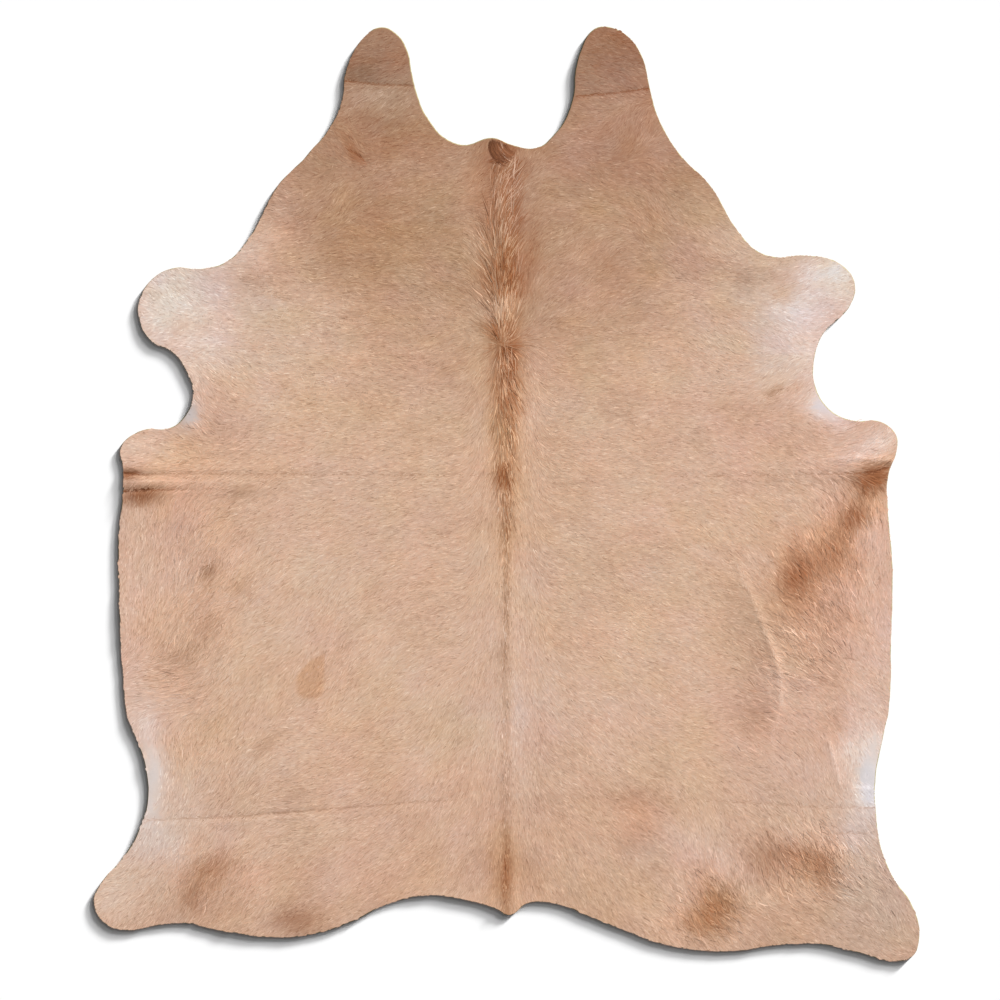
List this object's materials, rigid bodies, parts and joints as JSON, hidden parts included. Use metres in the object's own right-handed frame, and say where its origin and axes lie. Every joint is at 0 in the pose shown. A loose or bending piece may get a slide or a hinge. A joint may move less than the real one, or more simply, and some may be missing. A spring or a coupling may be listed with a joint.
{
  "type": "cowhide rug",
  "caption": "Whole hair-on cowhide laid flat with its coat up: hand-trimmed outline of neck flaps, legs and rump, soft fold creases and a combed coat.",
  "frame": {"origin": "middle of the hide's outline box, on the flat flesh side that lies on the floor", "axes": "+Y from the rump to the neck, +X to the right of the hide as seen from above with the neck up, +Z out of the coat"},
  "size_m": [1.94, 2.1964, 0.0107],
  "materials": {
    "hide": "hair-on, combed champagne coat with a satin sheen over a pale suede flesh side"
  },
  "bodies": {
    "root": {"hide": "hide"}
  },
  "joints": []
}
